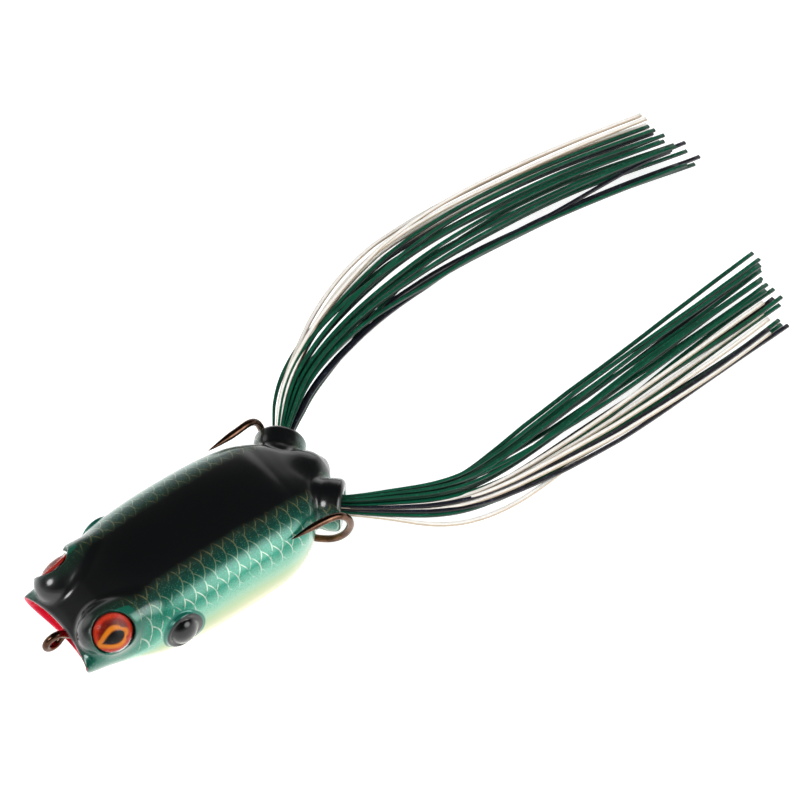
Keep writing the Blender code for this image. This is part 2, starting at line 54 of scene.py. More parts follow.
# Body: y, half width, middle height, top, bottom, squareness of the outline
STATIONS = np.array([
    (-31.7, 10.2, 9.5, 11.6, 3.0, 2.0),
    (-29.5, 10.4, 9.5, 13.4, 2.3, 2.1),
    (-26.5, 10.7, 9.5, 15.3, 1.7, 2.2),
    (-22.0, 11.5, 9.5, 17.2, 0.8, 2.3),
    (-16.0, 13.5, 9.6, 18.9, -0.1, 2.5),
    (-8.0, 14.4, 9.7, 19.7, -0.55, 2.6),
    (1.0, 14.5, 9.8, 19.9, -0.6, 2.7),
    (9.0, 14.4, 9.8, 19.8, -0.5, 2.6),
    (15.0, 13.9, 9.8, 19.3, -0.05, 2.5),
    (17.8, 13.4, 9.9, 18.6, 0.6, 2.6),
    (19.6, 12.7, 10.1, 18.1, 1.2, 2.8),
    (21.8, 11.0, 10.4, 17.4, 2.2, 3.0),
    (24.2, 8.5, 10.7, 16.4, 4.0, 3.0),
    (26.5, 5.9, 11.0, 15.3, 6.0, 2.6),
    (28.2, 3.4, 11.3, 13.8, 8.4, 2.2),
    (28.9, 1.4, 11.4, 12.4, 10.3, 2.0),
])
VOXEL = 0.26                # spacing of the grid that the skin is drawn from
CORNER_LEAD = 8.0
UPPER_LIP_RECESS = 1.4
LOWER_LIP_RECESS = 3.0
LIP_WALL = 0.8
CUP_DEPTH = 6.6
CUP_CENTRE = 7.6

EYE_CENTRE = np.array((9.0, -24.9, 14.5))
EYE_AXIS = np.array((0.80, -0.20, 0.565))
EYE_AXIS = EYE_AXIS / np.linalg.norm(EYE_AXIS)
EYE_RADIUS = 3.75
EYE_DOME_HEIGHT = 1.7
SEAT_GAP = 0.3
FOIL_THICKNESS = 0.4
FOIL_CROWN = 0.9

DRUM_CENTRE = np.array((13.6, -12.6, 9.9))
DRUM_RING_RADIUS = 3.35
DRUM_RING_THICKNESS = 0.5
DRUM_STRETCH = 1.13         # taller than it is long
DRUM_DOME = np.array((2.1, 2.8, 3.15))

PORT_MOUTH = np.array((9.8, 26.6, 11.6))
PORT_AXIS = np.array((math.sin(math.radians(45)), math.cos(math.radians(45)), 0.0))
PORT_RADIUS = 5.0
PORT_LENGTH = 6.5
FACET_PLACE = 21.7          # the body ends square to each port this far from the middle
FACET_LEAN = 0.12
PORT_BORE = 3.4
PORT_LIP_BORE = 2.7
PIVOT_DEPTH = 2.2

BUMP_CENTRE = (0.0, 25.2, 11.9)
BUMP_SIZE = (4.6, 4.5, 4.2)

# Double hook, frog's left half from behind the line tie to the point
WIRE = 0.70
SHANK_SPREAD = 0.82
TIE_RADIUS = 2.2
TIE_CENTRE = (-31.6, 7.5)
HOOK_ROUTE = [
    (0.82, -29.0, 7.4), (0.82, -22.0, 6.2), (0.82, -8.0, 4.4), (0.82, 2.0, 3.4), (0.85, 12.0, 3.1),
    (1.9, 17.0, 2.7), (4.8, 20.4, 2.1), (8.0, 22.4, 2.9), (10.6, 23.8, 4.6), (12.6, 24.9, 7.4),
    (13.8, 25.2, 11.0), (14.1, 24.3, 14.1), (13.8, 22.3, 16.0), (13.3, 18.6, 16.3), (13.0, 12.3, 16.1),
]
POINT_TAPER = 5.2
BARB_BACK = 5.6

# Skirt strands
STRANDS_PER_LEG = 25
SLOT_PITCH = 0.33
GOLDEN_ANGLE = math.pi * (3 - math.sqrt(5))
STRAND_ROOT_WIDTH = 0.50
STRAND_WIDTH = 0.80
WHITE_SHIFT = {"left": -0.9, "right": 0.7}   # the white strands leave the port low or high
WHITE_INWARD = {"left": 0.1, "right": 0.4}
WHITE_RISE = {"left": 1.1, "right": 0.0}      # further out they lie over the others
HIGHEST_IN_PORT = 1.2       # leaves the legs room to lift inside the collar
BAND_REACH = 1.95           # the strands' middles stay this close to the band's middle
STRAND_THICKNESS = 0.56
STRAND_RINGS = 90
STRAND_TAIL = 2.6
LEG_ROUTES = {
    "left": [
        (12.6, 30.0, 11.9), (15.8, 35.4, 11.6), (18.8, 41.0, 11.1), (21.0, 47.9, 10.6),
        (21.7, 57.2, 10.1), (21.3, 70.0, 9.5), (20.2, 86.0, 8.7), (18.4, 108.0, 7.8),
        (15.9, 134.0, 6.9),
    ],
    "right": [
        (-13.6, 30.6, 12.0), (-18.6, 36.5, 11.8), (-22.8, 44.1, 11.4), (-26.5, 53.3, 10.9),
        (-29.4, 64.6, 10.4), (-31.4, 78.0, 9.7), (-31.8, 94.0, 8.9), (-30.3, 115.0, 8.0),
        (-26.0, 141.5, 7.1),
    ],
}
FAN_START = 9.0
FAN_HEIGHT = 0.20
LENGTH_SPREAD = 0.05
# The legs' ends are cut at a slant: shorter towards the frog's left, or right if below 0
LENGTH_SKEW = {"left": 5.8, "right": -2.2}
FULL_SIZE_REACH = 20.0
# Width of each leg at distances out of its port
LEG_WIDTHS = {
    "left": [(0, 3.9), (8, 5.8), (14, 7.2), (23, 9.4), (32, 12.0), (42, 14.2), (55, 16.1),
             (68, 16.8), (82, 17.6), (96, 18.0)],
    "right": [(0, 3.9), (8, 7.4), (17, 9.8), (28, 12.6), (50, 16.1), (80, 15.4), (110, 15.4)],
}
# One letter per strand across each leg, from the frog's right to its left, then the strands that
# fill the gaps between them.
STRAND_ORDER = {
    "left": "gggdggdgggggdgwdwggwdgwdw",
    "right": "wwwwwgdggdgggdgggdggdggdd",
}
EXTRA_ORDER = {"left": "gggw", "right": "gggd"}
EXTRA_RANKS = (6.5, 10.5, 13.5, 18.5)
# Strands of these ranks change places along the leg
LOOSE_RANKS = {"left": (0, 21.5), "right": (5.5, 30)}
WANDER = {"left": 0.3, "right": 0.25}
# Strands that leave the bundle: spread from, spread to, sideways, upward, from and to distance
STRAYS = {
    "left": [(0.9, 1.0, 1.2, -1.0, 3, 22), (0.9, 1.0, -4.6, -0.6, 22, 60), (-1.0, -0.95, -0.8, 0.3, 40, 90)],
    "right": [(0.88, 1.0, 1.4, -0.4, 55, 110), (0.78, 0.86, -2.6, 0.9, 80, 118)],
}

# Scales painted on the flanks
FIRST_SCALE_ROW = 9.3
SCALE_ROW_PITCH = 3.1
HALF_SCALE = 1.215

# A barb's faces over its five corners: base, point, two heels and its root on the wire
BARB_FACES = ((0, 2, 1), (0, 1, 3), (1, 2, 3), (0, 3, 4), (0, 4, 2), (4, 3, 2))

# Camera: above the lure, ahead of it and to the frog's left
CAMERA_PLACE = (0.3483, -0.2199, 0.5616)
CAMERA_RIGHT = (0.6088, 0.7934, 0.0)
CAMERA_UP = (-0.6174, 0.4738, 0.6280)
CAMERA_LENS = 167.3

# Studio: brightness of the surroundings, and glows as direction, radius in degrees, strength
HORIZON_GLOW = 0.7
ZENITH_GLOW = 0.02
GLOWS = [
    ((0.78, 0.38, 0.50), 28, 5.5),
    ((0.0, -0.76, 0.65), 15, 14.0),
    ((-0.80, -0.45, 0.35), 22, 1.2),
    ((-0.62, 0.74, 0.25), 20, 0.8),
]


# ---------------------------------------------------------------- small helpers

def catmull_rom(points, steps):
    """Smooth run through the rows of an array, with the given steps between neighbours."""
    points = np.asarray(points, float)
    ends = np.vstack([2 * points[0] - points[1], points, 2 * points[-1] - points[-2]])
    run = []
    for a, b, c, d in zip(ends, ends[1:], ends[2:], ends[3:]):
        for k in range(steps):
            t = k / steps
            run.append(0.5 * (2 * b + (c - a) * t + (2 * a - 5 * b + 4 * c - d) * t * t
                              + (3 * b - a - 3 * c + d) * t ** 3))
    run.append(points[-1])
    return np.array(run)


def sided(point, side):
    """A place or direction given for the left side (+X), moved to the named side."""
    return np.array(point, float) * np.array((1.0 if side == "left" else -1.0, 1.0, 1.0))


def smoothstep(low, high, value):
    t = np.clip((value - low) / (high - low), 0.0, 1.0)
    return t * t * (3.0 - 2.0 * t)


def smooth_min(a, b, blend):
    h = np.clip(0.5 + 0.5 * (b - a) / blend, 0.0, 1.0)
    return b + (a - b) * h - blend * h * (1.0 - h)


def smooth_max(a, b, blend):
    return -smooth_min(-a, -b, blend)


def mesh_object(name, vertices, faces, smooth=True):
    """New object from places in millimetres."""
    mesh = bpy.data.meshes.new(name)
    vertices = np.asarray(vertices, float) * MM
    mesh.from_pydata(vertices.tolist(), [], [tuple(int(i) for i in face) for face in faces])
    mesh.update()
    if smooth:
        mesh.polygons.foreach_set("use_smooth", [True] * len(mesh.polygons))
    made = bpy.data.objects.new(name, mesh)
    bpy.context.scene.collection.objects.link(made)
    return made


def attribute(item, name, values):
    layer = item.data.attributes.new(name, "FLOAT", "POINT")
    layer.data.foreach_set("value", np.asarray(values, np.float32))


# ---------------------------------------------------------------- materials

class Paint:
    """A material with short calls for its nodes."""

    def __init__(self, name):
        self.material = bpy.data.materials.new(name)
        self.material.use_nodes = True
        self.nodes = self.material.node_tree.nodes
        self.links = self.material.node_tree.links
        self.shader = self.nodes["Principled BSDF"]

    def put(self, value, socket):
        """Feed a socket from another socket or a constant."""
        if isinstance(value, bpy.types.NodeSocket):
            self.links.new(value, socket)
        else:
            socket.default_value = value

    def read(self, name):
        node = self.nodes.new("ShaderNodeAttribute")
        node.attribute_name = name
        return node.outputs["Fac"]

    def math(self, operation, a, b=0.0, c=0.0):
        node = self.nodes.new("ShaderNodeMath")
        node.operation = operation
        for value, socket in zip((a, b, c), node.inputs):
            self.put(value, socket)
        return node.outputs[0]

    def step(self, value, low, high):
        """0 below low, 1 above high, smooth between. Falls instead if high is below low."""
        node = self.nodes.new("ShaderNodeMapRange")
        node.interpolation_type = "SMOOTHSTEP"
        flip = high < low
        self.put(value, node.inputs["Value"])
        node.inputs["From Min"].default_value = min(low, high)
        node.inputs["From Max"].default_value = max(low, high)
        node.inputs["To Min"].default_value = 1.0 if flip else 0.0
        node.inputs["To Max"].default_value = 0.0 if flip else 1.0
        return node.outputs["Result"]

    def ramp(self, value, stops, low=0.0, high=1.0):
        """Colours at places between low and high."""
        node = self.nodes.new("ShaderNodeValToRGB")
        scaled = self.math("DIVIDE", self.math("SUBTRACT", value, low), high - low)
        self.put(scaled, node.inputs["Fac"])
        elements = node.color_ramp.elements
        while len(elements) < len(stops):
            elements.new(0.5)
        for element, (place, colour) in zip(elements, stops):
            element.position = (place - low) / (high - low)
            element.color = (*linear(colour), 1.0)
        return node.outputs["Color"]

    def mix(self, amount, a, b):
        node = self.nodes.new("ShaderNodeMix")
        node.data_type = "RGBA"
        node.clamp_factor = True
        self.put(amount, node.inputs["Factor"])
        for value, socket in ((a, node.inputs["A"]), (b, node.inputs["B"])):
            if isinstance(value, tuple):
                value = (*linear(value), 1.0)
            self.put(value, [s for s in node.inputs if s.name == socket.name and s.type == "RGBA"][0])
        return [s for s in node.outputs if s.type == "RGBA"][0]

    def noise(self, scale, detail=2.0, roughness=0.5, vector=None):
        """Noise over the object's own place in space. Scale is in cells per metre."""
        node = self.nodes.new("ShaderNodeTexNoise")
        node.inputs["Scale"].default_value = scale
        node.inputs["Detail"].default_value = detail
        node.inputs["Roughness"].default_value = roughness
        self.put(self.place() if vector is None else vector, node.inputs["Vector"])
        return node.outputs["Fac"]

    def cells(self, scale, output="Color", vector=None):
        node = self.nodes.new("ShaderNodeTexVoronoi")
        node.inputs["Scale"].default_value = scale
        self.put(self.place() if vector is None else vector, node.inputs["Vector"])
        return node.outputs[output]

    def place(self):
        return self.nodes.new("ShaderNodeTexCoord").outputs["Object"]

    def vector(self, x, y, z):
        node = self.nodes.new("ShaderNodeCombineXYZ")
        for value, socket in zip((x, y, z), node.inputs):
            self.put(value, socket)
        return node.outputs[0]

    def bump(self, height, distance, strength=1.0):
        node = self.nodes.new("ShaderNodeBump")
        node.inputs["Strength"].default_value = strength
        node.inputs["Distance"].default_value = distance
        self.put(height, node.inputs["Height"])
        self.links.new(node.outputs["Normal"], self.shader.inputs["Normal"])

    def surface(self, **values):
        """Sockets of the main shader, by name with spaces as underscores."""
        for name, value in values.items():
            self.put(value, self.shader.inputs[name.replace("_", " ")])
        return self.material


def linear(colour):
    """An sRGB colour of 0 to 255 as linear light."""
    return tuple(c / 255 / 12.92 if c <= 10 else ((c / 255 + 0.055) / 1.055) ** 2.4 for c in colour)


def wear(item, material):
    item.data.materials.clear()
    item.data.materials.append(material)
    return item


# ---------------------------------------------------------------- body skin

FINE_STATIONS = catmull_rom(STATIONS, 12)


def station_at(y):
    """Half width, middle, top, bottom and squareness of the outline at each y."""
    return [np.interp(y, FINE_STATIONS[:, 0], FINE_STATIONS[:, k]) for k in range(1, 6)]


def lip_setback(x, z):
    """How far behind the mouth's corners the lip lies."""
    _, half_width, middle, _, bottom, _ = STATIONS[0]
    across = np.clip(1.0 - (x / half_width) ** 2, 0.0, 1.0)
    drop = np.clip((middle - z) / (middle - bottom), 0.0, 1.0)
    return UPPER_LIP_RECESS * across * np.where(z > middle, 1.0, 0.3) + LOWER_LIP_RECESS * drop ** 1.5


def station_place(x, y, z):
    """The y of the outline that passes through each point, with the mouth's curve taken out."""
    first = STATIONS[0, 0]
    setback = lip_setback(x, z)
    near_lip = (y - setback * (1.0 + first / CORNER_LEAD)) / (1.0 - setback / CORNER_LEAD)
    return np.where(near_lip < first + CORNER_LEAD, near_lip, y)


def cup_outline():
    """Distance from the cup's centre to its edge, by angle."""
    _, half_width, middle, top, bottom, squareness = STATIONS[0]
    a = np.linspace(0.0, 2 * math.pi, 721)
    power = 2.0 / squareness
    x = np.sign(np.cos(a)) * np.abs(np.cos(a)) ** power * (half_width - LIP_WALL)
    reach = np.where(np.sin(a) > 0, top - middle, middle - bottom) - LIP_WALL
    z = middle + np.sign(np.sin(a)) * np.abs(np.sin(a)) ** power * reach
    turn = np.unwrap(np.arctan2(z - CUP_CENTRE, x))
    size = np.hypot(x, z - CUP_CENTRE)
    return turn, size


CUP_TURN, CUP_SIZE = cup_outline()


def cup_depth(x, y, z):
    """How deep each point lies behind the lip's edge."""
    return station_place(x, y, z) - STATIONS[0, 0]


def cup_distance(x, y, z):
    """Below 0 inside the mouth's hollow."""
    turn = np.arctan2(z - CUP_CENTRE, x)
    turn = np.where(turn < CUP_TURN[0], turn + 2 * math.pi, turn)
    edge = np.interp(turn, CUP_TURN, CUP_SIZE)
    ratio = np.hypot(x, z - CUP_CENTRE) / edge
    depth = np.clip(cup_depth(x, y, z), 0.0, None) / CUP_DEPTH
    return (np.sqrt(ratio ** 2 + depth ** 2) - 1.0) * 5.0


def ellipsoid(x, y, z, centre, radii):
    q = [(v - c) / r for v, c, r in zip((x, y, z), centre, radii)]
    k = np.sqrt(q[0] ** 2 + q[1] ** 2 + q[2] ** 2) + 1e-9
    slope = np.sqrt(sum((v / r) ** 2 for v, r in zip(q, radii))) + 1e-9
    return k * (k - 1.0) / slope


def axis_parts(x, y, z, origin, axis):
    """Distance along an axis from its origin, and distance out from it."""
    dx, dy, dz = x - origin[0], y - origin[1], z - origin[2]
    along = dx * axis[0] + dy * axis[1] + dz * axis[2]
    out = np.sqrt(np.clip(dx * dx + dy * dy + dz * dz - along ** 2, 0.0, None))
    return along, out


def collar_distance(x, y, z):
    along, out = axis_parts(x, y, z, PORT_MOUTH, PORT_AXIS)
    neck = 0.25 * np.exp(-((along + 4.0) / 0.9) ** 2)
    corner = 1.1
    a = np.abs(along + PORT_LENGTH / 2) - (PORT_LENGTH / 2 - corner)
    b = out - (PORT_RADIUS - neck - corner)
    return np.hypot(np.clip(a, 0, None), np.clip(b, 0, None)) + np.minimum(np.maximum(a, b), 0.0) - corner


def bore_distance(x, y, z):
    along, out = axis_parts(x, y, z, PORT_MOUTH, PORT_AXIS)
    throat = PORT_LIP_BORE + (PORT_BORE - PORT_LIP_BORE) * smoothstep(-0.9, -1.6, along)
    return np.maximum(out - throat, -5.2 - along)


def groove_distance(x, y, z):
    """Distance from the wire where it lies close to the belly and the tail."""
    route = catmull_rom(HOOK_ROUTE[4:11], 3)
    nearest = np.full(np.shape(x), 9.0)
    for p, q in zip(route, route[1:]):
        d = q - p
        t = ((x - p[0]) * d[0] + (y - p[1]) * d[1] + (z - p[2]) * d[2]) / (d @ d)
        t = np.clip(t, 0.0, 1.0)
        gap = np.sqrt((x - p[0] - t * d[0]) ** 2 + (y - p[1] - t * d[1]) ** 2 + (z - p[2] - t * d[2]) ** 2)
        nearest = np.minimum(nearest, gap)
    return nearest - (WIRE + 0.35)


def trunk_distance(x, y, z):
    """The body without its moulded details."""
    place = station_place(x, y, z)
    half_width, middle, top, bottom, squareness = station_at(place)
    reach = np.where(z > middle, top - middle, middle - bottom)
    size = (np.abs(x / half_width) ** squareness + np.abs((z - middle) / reach) ** squareness)
    size = np.clip(size, 1e-6, None) ** (1.0 / squareness)
    span = np.sqrt(x * x + (z - middle) ** 2)
    shell = span * (1.0 - 1.0 / size)
    shell = np.where(size < 0.05, -np.minimum(half_width, reach), shell)
    ahead = STATIONS[0, 0] - place
    behind = place - STATIONS[-1, 0]
    facet = x * PORT_AXIS[0] + y * PORT_AXIS[1] - FACET_PLACE - FACET_LEAN * (z - middle)
    return np.maximum(smooth_max(smooth_max(shell, ahead, 0.5), facet, 4.5), behind)


def eye_bulge_distance(x, y, z):
    mound = ellipsoid(x, y, z, (6.9, -23.9, 13.1), (5.0, 6.6, 4.9))
    ridge = ellipsoid(x, y, z, (7.5, -19.6, 14.0), (4.1, 7.8, 4.1))
    return smooth_min(mound, ridge, 1.5)


def seat_distance(x, y, z):
    along, out = axis_parts(x, y, z, EYE_CENTRE, EYE_AXIS)
    return smooth_max(out - (EYE_RADIUS + SEAT_GAP), -along, 0.3)


def skin_distance(x, y, z):
    """Below 0 inside the body with all that is moulded on it. Both sides are alike."""
    x = np.abs(x)
    skin = smooth_min(trunk_distance(x, y, z), eye_bulge_distance(x, y, z), 1.1)
    skin = smooth_min(skin, ellipsoid(x, y, z, BUMP_CENTRE, BUMP_SIZE), 2.8)
    skin = smooth_min(skin, collar_distance(x, y, z), 0.5)
    ring = np.hypot(x - DRUM_CENTRE[0],
                    np.hypot(y - DRUM_CENTRE[1], (z - DRUM_CENTRE[2]) / DRUM_STRETCH) - DRUM_RING_RADIUS)
    skin = smooth_min(skin, ring - DRUM_RING_THICKNESS, 0.35)
    skin = smooth_min(skin, ellipsoid(x, y, z, DRUM_CENTRE, DRUM_DOME), 0.3)
    skin = smooth_max(skin, -z, 0.4)
    skin = smooth_max(skin, -cup_distance(x, y, z), 0.45)
    skin = smooth_max(skin, -bore_distance(x, y, z), 0.35)
    skin = smooth_max(skin, -seat_distance(x, y, z), 0.3)
    return smooth_max(skin, -groove_distance(x, y, z), 0.4)


def slope_of(field, points):
    """Gradient of a distance field at rows of points."""
    step = 0.05
    parts = []
    for k in range(3):
        push = np.zeros(3)
        push[k] = step
        up, down = (points + push).T, (points - push).T
        parts.append((field(*up) - field(*down)) / (2 * step))
    return np.stack(parts, axis=1)


def settle(field, points, rounds=2):
    """Move points onto the surface where the field is 0."""
    for _ in range(rounds):
        slope = slope_of(field, points)
        steep = np.clip((slope ** 2).sum(axis=1), 0.04, None)
        move = slope * (field(*points.T) / steep)[:, None]
        length = np.linalg.norm(move, axis=1, keepdims=True) + 1e-9
        points = points - move * np.minimum(1.0, VOXEL / length)
    return points


def surface_net(field, low, high, pitch):
    """Quads wrapped round the region where the field is below 0."""
    axes = [np.arange(a, b + pitch, pitch) for a, b in zip(low, high)]
    grid = np.meshgrid(*axes, indexing="ij")
    values = field(*grid)
    inside = values < 0
    corners = [(i, j, k) for i in (0, 1) for j in (0, 1) for k in (0, 1)]
    shape = [n - 1 for n in values.shape]

    def corner_of(array, i, j, k):
        return array[i:i + shape[0], j:j + shape[1], k:k + shape[2]]

    count = sum(corner_of(inside, *c).astype(np.int8) for c in corners)
    cells = np.argwhere((count > 0) & (count < 8))
    number = np.full(shape, -1, np.int64)
    number[tuple(cells.T)] = np.arange(len(cells))
    total = np.zeros((len(cells), 3))
    hits = np.zeros(len(cells))
    for a in corners:
        for b in corners:
            if sum(b) != sum(a) + 1 or any(q < p for p, q in zip(a, b)):
                continue
            va = values[tuple((cells + a).T)]
            vb = values[tuple((cells + b).T)]
            crossed = (va < 0) != (vb < 0)
            t = np.where(crossed, va / np.where(crossed, va - vb, 1.0), 0.0)
            spot = np.array(a) + t[:, None] * (np.array(b) - np.array(a))
            total += np.where(crossed[:, None], spot, 0.0)
            hits += crossed
    vertices = np.array(low) + (cells + total / hits[:, None]) * pitch
    quads = []
    for axis in range(3):
        one, two = [k for k in range(3) if k != axis]
        low_side = [slice(1, n - 1) for n in values.shape]
        high_side = list(low_side)
        low_side[axis] = slice(1, values.shape[axis] - 1)
        high_side[axis] = slice(2, values.shape[axis])
        a, b = inside[tuple(low_side)], inside[tuple(high_side)]
        edges = np.argwhere(a != b) + 1
        ring = []
        for d1, d2 in ((0, 0), (1, 0), (1, 1), (0, 1)):
            cell = edges.copy()
            cell[:, one] -= d1
            cell[:, two] -= d2
            ring.append(number[tuple(cell.T)])
        ring = np.stack(ring, axis=1)
        outward = inside[tuple(edges.T)]
        if axis == 1:
            outward = ~outward
        ring[~outward] = ring[~outward][:, ::-1]
        quads.append(ring)
    quads = np.vstack(quads)
    return vertices, quads[(quads >= 0).all(axis=1)]


def relax(vertices, quads, field, rounds=3):
    """Even out the net over the surface."""
    for _ in range(rounds):
        centres = vertices[quads].mean(axis=1)
        total = np.zeros_like(vertices)
        count = np.zeros(len(vertices))
        for k in range(4):
            np.add.at(total, quads[:, k], centres)
            np.add.at(count, quads[:, k], 1.0)
        vertices = settle(field, total / count[:, None], 1)
    return vertices


def girth_map(points):
    """Distance round the plain body from the middle of the back, in millimetres."""
    angles = np.linspace(0.0, math.pi, 181)
    rows = np.linspace(STATIONS[0, 0], STATIONS[-1, 0], 140)
    table = []
    for y in rows:
        half_width, middle, top, bottom, squareness = station_at(y)
        power = 2.0 / squareness
        x = np.abs(np.sin(angles)) ** power * half_width
        reach = np.where(np.cos(angles) > 0, top - middle, middle - bottom)
        z = middle + np.sign(np.cos(angles)) * np.abs(np.cos(angles)) ** power * reach
        run = np.concatenate([[0.0], np.cumsum(np.hypot(np.diff(x), np.diff(z)))])
        bearing = np.arctan2(x, z - middle)
        table.append(np.interp(angles, np.maximum.accumulate(bearing), run))
    table = np.array(table)
    x, y, z = np.abs(points[:, 0]), points[:, 1], points[:, 2]
    place = np.clip(station_place(x, y, z), rows[0], rows[-1])
    middle = station_at(place)[1]
    across = np.clip(np.arctan2(x, z - middle) / math.pi * 180, 0, 179.999)
    down = (place - rows[0]) / (rows[1] - rows[0])
    down = np.clip(down, 0, len(rows) - 1.001)
    i, j = down.astype(int), across.astype(int)
    u, v = down - i, across - j
    return ((table[i, j] * (1 - v) + table[i, j + 1] * v) * (1 - u)
            + (table[i + 1, j] * (1 - v) + table[i + 1, j + 1] * v) * u), place


def paint_girth(points):
    """Girth as the painter saw it: the black back is narrower on the head and at the tail."""
    girth, place = girth_map(points)
    edge = np.interp(place, (-32.0, -30.5, -28.0, -24.0, -21.0, -18.0, 15.0, 20.0, 25.0),
                     (6.6, 4.0, 3.0, 3.2, 5.0, 7.0, 7.2, 6.4, 5.0))
    shown = girth + (7.0 - edge) * np.exp(-(girth / 12.0) ** 2)
    on_head = smoothstep(-14.0, -25.0, place)
    head = np.interp(shown, (0.0, 10.0, 14.0, 17.5, 20.0, 22.0, 40.0),
                     (0.0, 10.0, 11.8, 13.4, 20.0, 23.5, 41.0))
    shown = shown * (1.0 - on_head) + head * on_head
    x, y, z = np.abs(points[:, 0]), points[:, 1], points[:, 2]
    along, out = axis_parts(x, y, z, PORT_MOUTH, PORT_AXIS)
    dx = (x - PORT_MOUTH[0]) * PORT_AXIS[1] - (y - PORT_MOUTH[1]) * PORT_AXIS[0]
    turn = np.arctan2(np.abs(dx), z - PORT_MOUTH[2])
    on_collar = smoothstep(7.0, 5.4, out) * smoothstep(-6.6, -4.4, along)
    collar = turn * PORT_RADIUS * 1.15 + 3.2
    return shown * (1 - on_collar) + collar * on_collar


def body_paint():
    """Glossy brushed-on paint: black back, green flanks with scales, pearl and cream belly."""
    p = Paint("body_paint")
    girth = p.read("girth")
    along = p.read("along")
    drift = p.math("MULTIPLY", p.math("SUBTRACT", p.noise(160.0, 3.0), 0.5), 1.6)
    level = p.math("ADD", girth, drift)
    base = p.ramp(level, [
        (0.0, (9, 10, 11)), (6.6, (10, 11, 12)), (7.9, (24, 40, 32)), (9.5, (14, 60, 50)),
        (11.0, (8, 82, 66)), (12.4, (16, 112, 90)), (13.6, (20, 116, 92)), (15.0, (42, 140, 114)),
        (16.8, (112, 178, 154)), (18.6, (136, 182, 154)), (20.4, (152, 178, 136)),
        (22.6, (176, 182, 138)), (24.5, (192, 192, 150)), (30.0, (204, 202, 168)),
    ], 0.0, 30.0)
    # metal flake in the lacquer: darker grain for the flakes' own tone, lighter flecks as painted glints
    flake = p.cells(7600.0)
    split = p.nodes.new("ShaderNodeSeparateColor")
    p.put(flake, split.inputs[0])
    flake_glint = p.step(split.outputs[0], 0.86, 0.97)
    green_zone = p.math("MULTIPLY", p.step(level, 6.6, 9.0), p.step(level, 22.0, 15.0))
    # painted highlight: the lighter flecks stand in for the flakes' glints
    base = p.mix(p.math("MULTIPLY", flake_glint, p.math("MULTIPLY", green_zone, 0.2)), base, (120, 190, 160))
    grain = p.math("MULTIPLY", p.step(split.outputs[1], 0.3, 1.0), p.math("MULTIPLY", green_zone, 0.35))
    base = p.mix(grain, base, (8, 34, 30))
    # scale arcs, two sets of rows half a scale apart
    rows = None
    for row, shift in ((FIRST_SCALE_ROW, 0.0), (FIRST_SCALE_ROW + SCALE_ROW_PITCH, HALF_SCALE)):
        wrapped = p.math("WRAP", p.math("SUBTRACT", girth, row), SCALE_ROW_PITCH, -SCALE_ROW_PITCH)
        bend = p.math("MULTIPLY", p.math("MULTIPLY", wrapped, wrapped), 0.18)
        run = p.math("ADD", p.math("ADD", along, bend), shift)
        gap = p.math("ABSOLUTE", p.math("WRAP", run, HALF_SCALE, -HALF_SCALE))
        line = p.math("MULTIPLY", p.step(gap, 0.17, 0.05),
                      p.step(p.math("ABSOLUTE", wrapped), 2.75, 2.35))
        rows = line if rows is None else p.math("MAXIMUM", rows, line)
    reach = p.math("MULTIPLY", p.step(girth, 6.4, 8.2), p.step(girth, 17.6, 15.4))
    ends = p.math("MULTIPLY", p.step(along, -22.5, -19.5), p.step(along, 30.0, 24.0))
    reach = p.math("MULTIPLY", reach, ends)
    patchy = p.step(p.noise(700.0, 2.0), 0.32, 0.55)
    scales = p.math("MULTIPLY", rows, p.math("MULTIPLY", reach, patchy))
    tint = p.ramp(level, [(6.0, (104, 88, 54)), (9.2, (120, 120, 82)), (11.5, (134, 164, 138)),
                          (14.0, (206, 208, 194)), (17.0, (230, 220, 212))], 6.0, 17.0)
    base = p.mix(p.math("MULTIPLY", scales, 0.55), base, tint)
    # green ring round the eye, darkened next to the eye's seat as painted shade, and the drum behind it
    eye = p.read("eye")
    base = p.mix(p.math("MULTIPLY", p.step(eye, 5.9, 5.5), 0.85), base, (14, 88, 70))
    # painted shade: a darker band along the rim of the eye's seat
    base = p.mix(p.math("MULTIPLY", p.step(eye, 4.5, 4.2), 0.6), base, (6, 30, 26))
    drum = p.read("drum")
    base = p.mix(p.step(drum, 4.45, 4.15), base, (24, 104, 88))
    base = p.mix(p.step(drum, 3.85, 3.65), base, (5, 6, 7))
    # mouth: red in the cup, pinker at the lip's edge as a painted highlight, darker red deeper in as painted
    # shade
    cup = p.read("cup")
    # painted light: pink at the lip's edge is a highlight, the darker red deep in the cup is shade
    deep = p.ramp(cup, [(0.0, (236, 60, 96)), (1.2, (224, 14, 44)), (6.6, (206, 2, 22))], 0.0, 6.6)
    base = p.mix(p.read("mouth"), base, deep)
    p.bump(p.math("ADD", p.math("MULTIPLY", scales, 0.6), p.noise(2600.0, 2.0)), 0.00002, 0.25)
    pearl = p.math("MULTIPLY", p.math("MULTIPLY", p.step(level, 7.5, 11.0), p.step(level, 23.0, 19.0)), 0.45)
    pearl = p.math("MULTIPLY", pearl, p.math("SUBTRACT", 1.0, p.read("mouth")))
    return p.surface(Base_Color=base, Roughness=0.34, Metallic=pearl, Coat_Weight=1.0, Coat_Roughness=0.06,
                     Coat_IOR=1.42, Specular_IOR_Level=0.25)


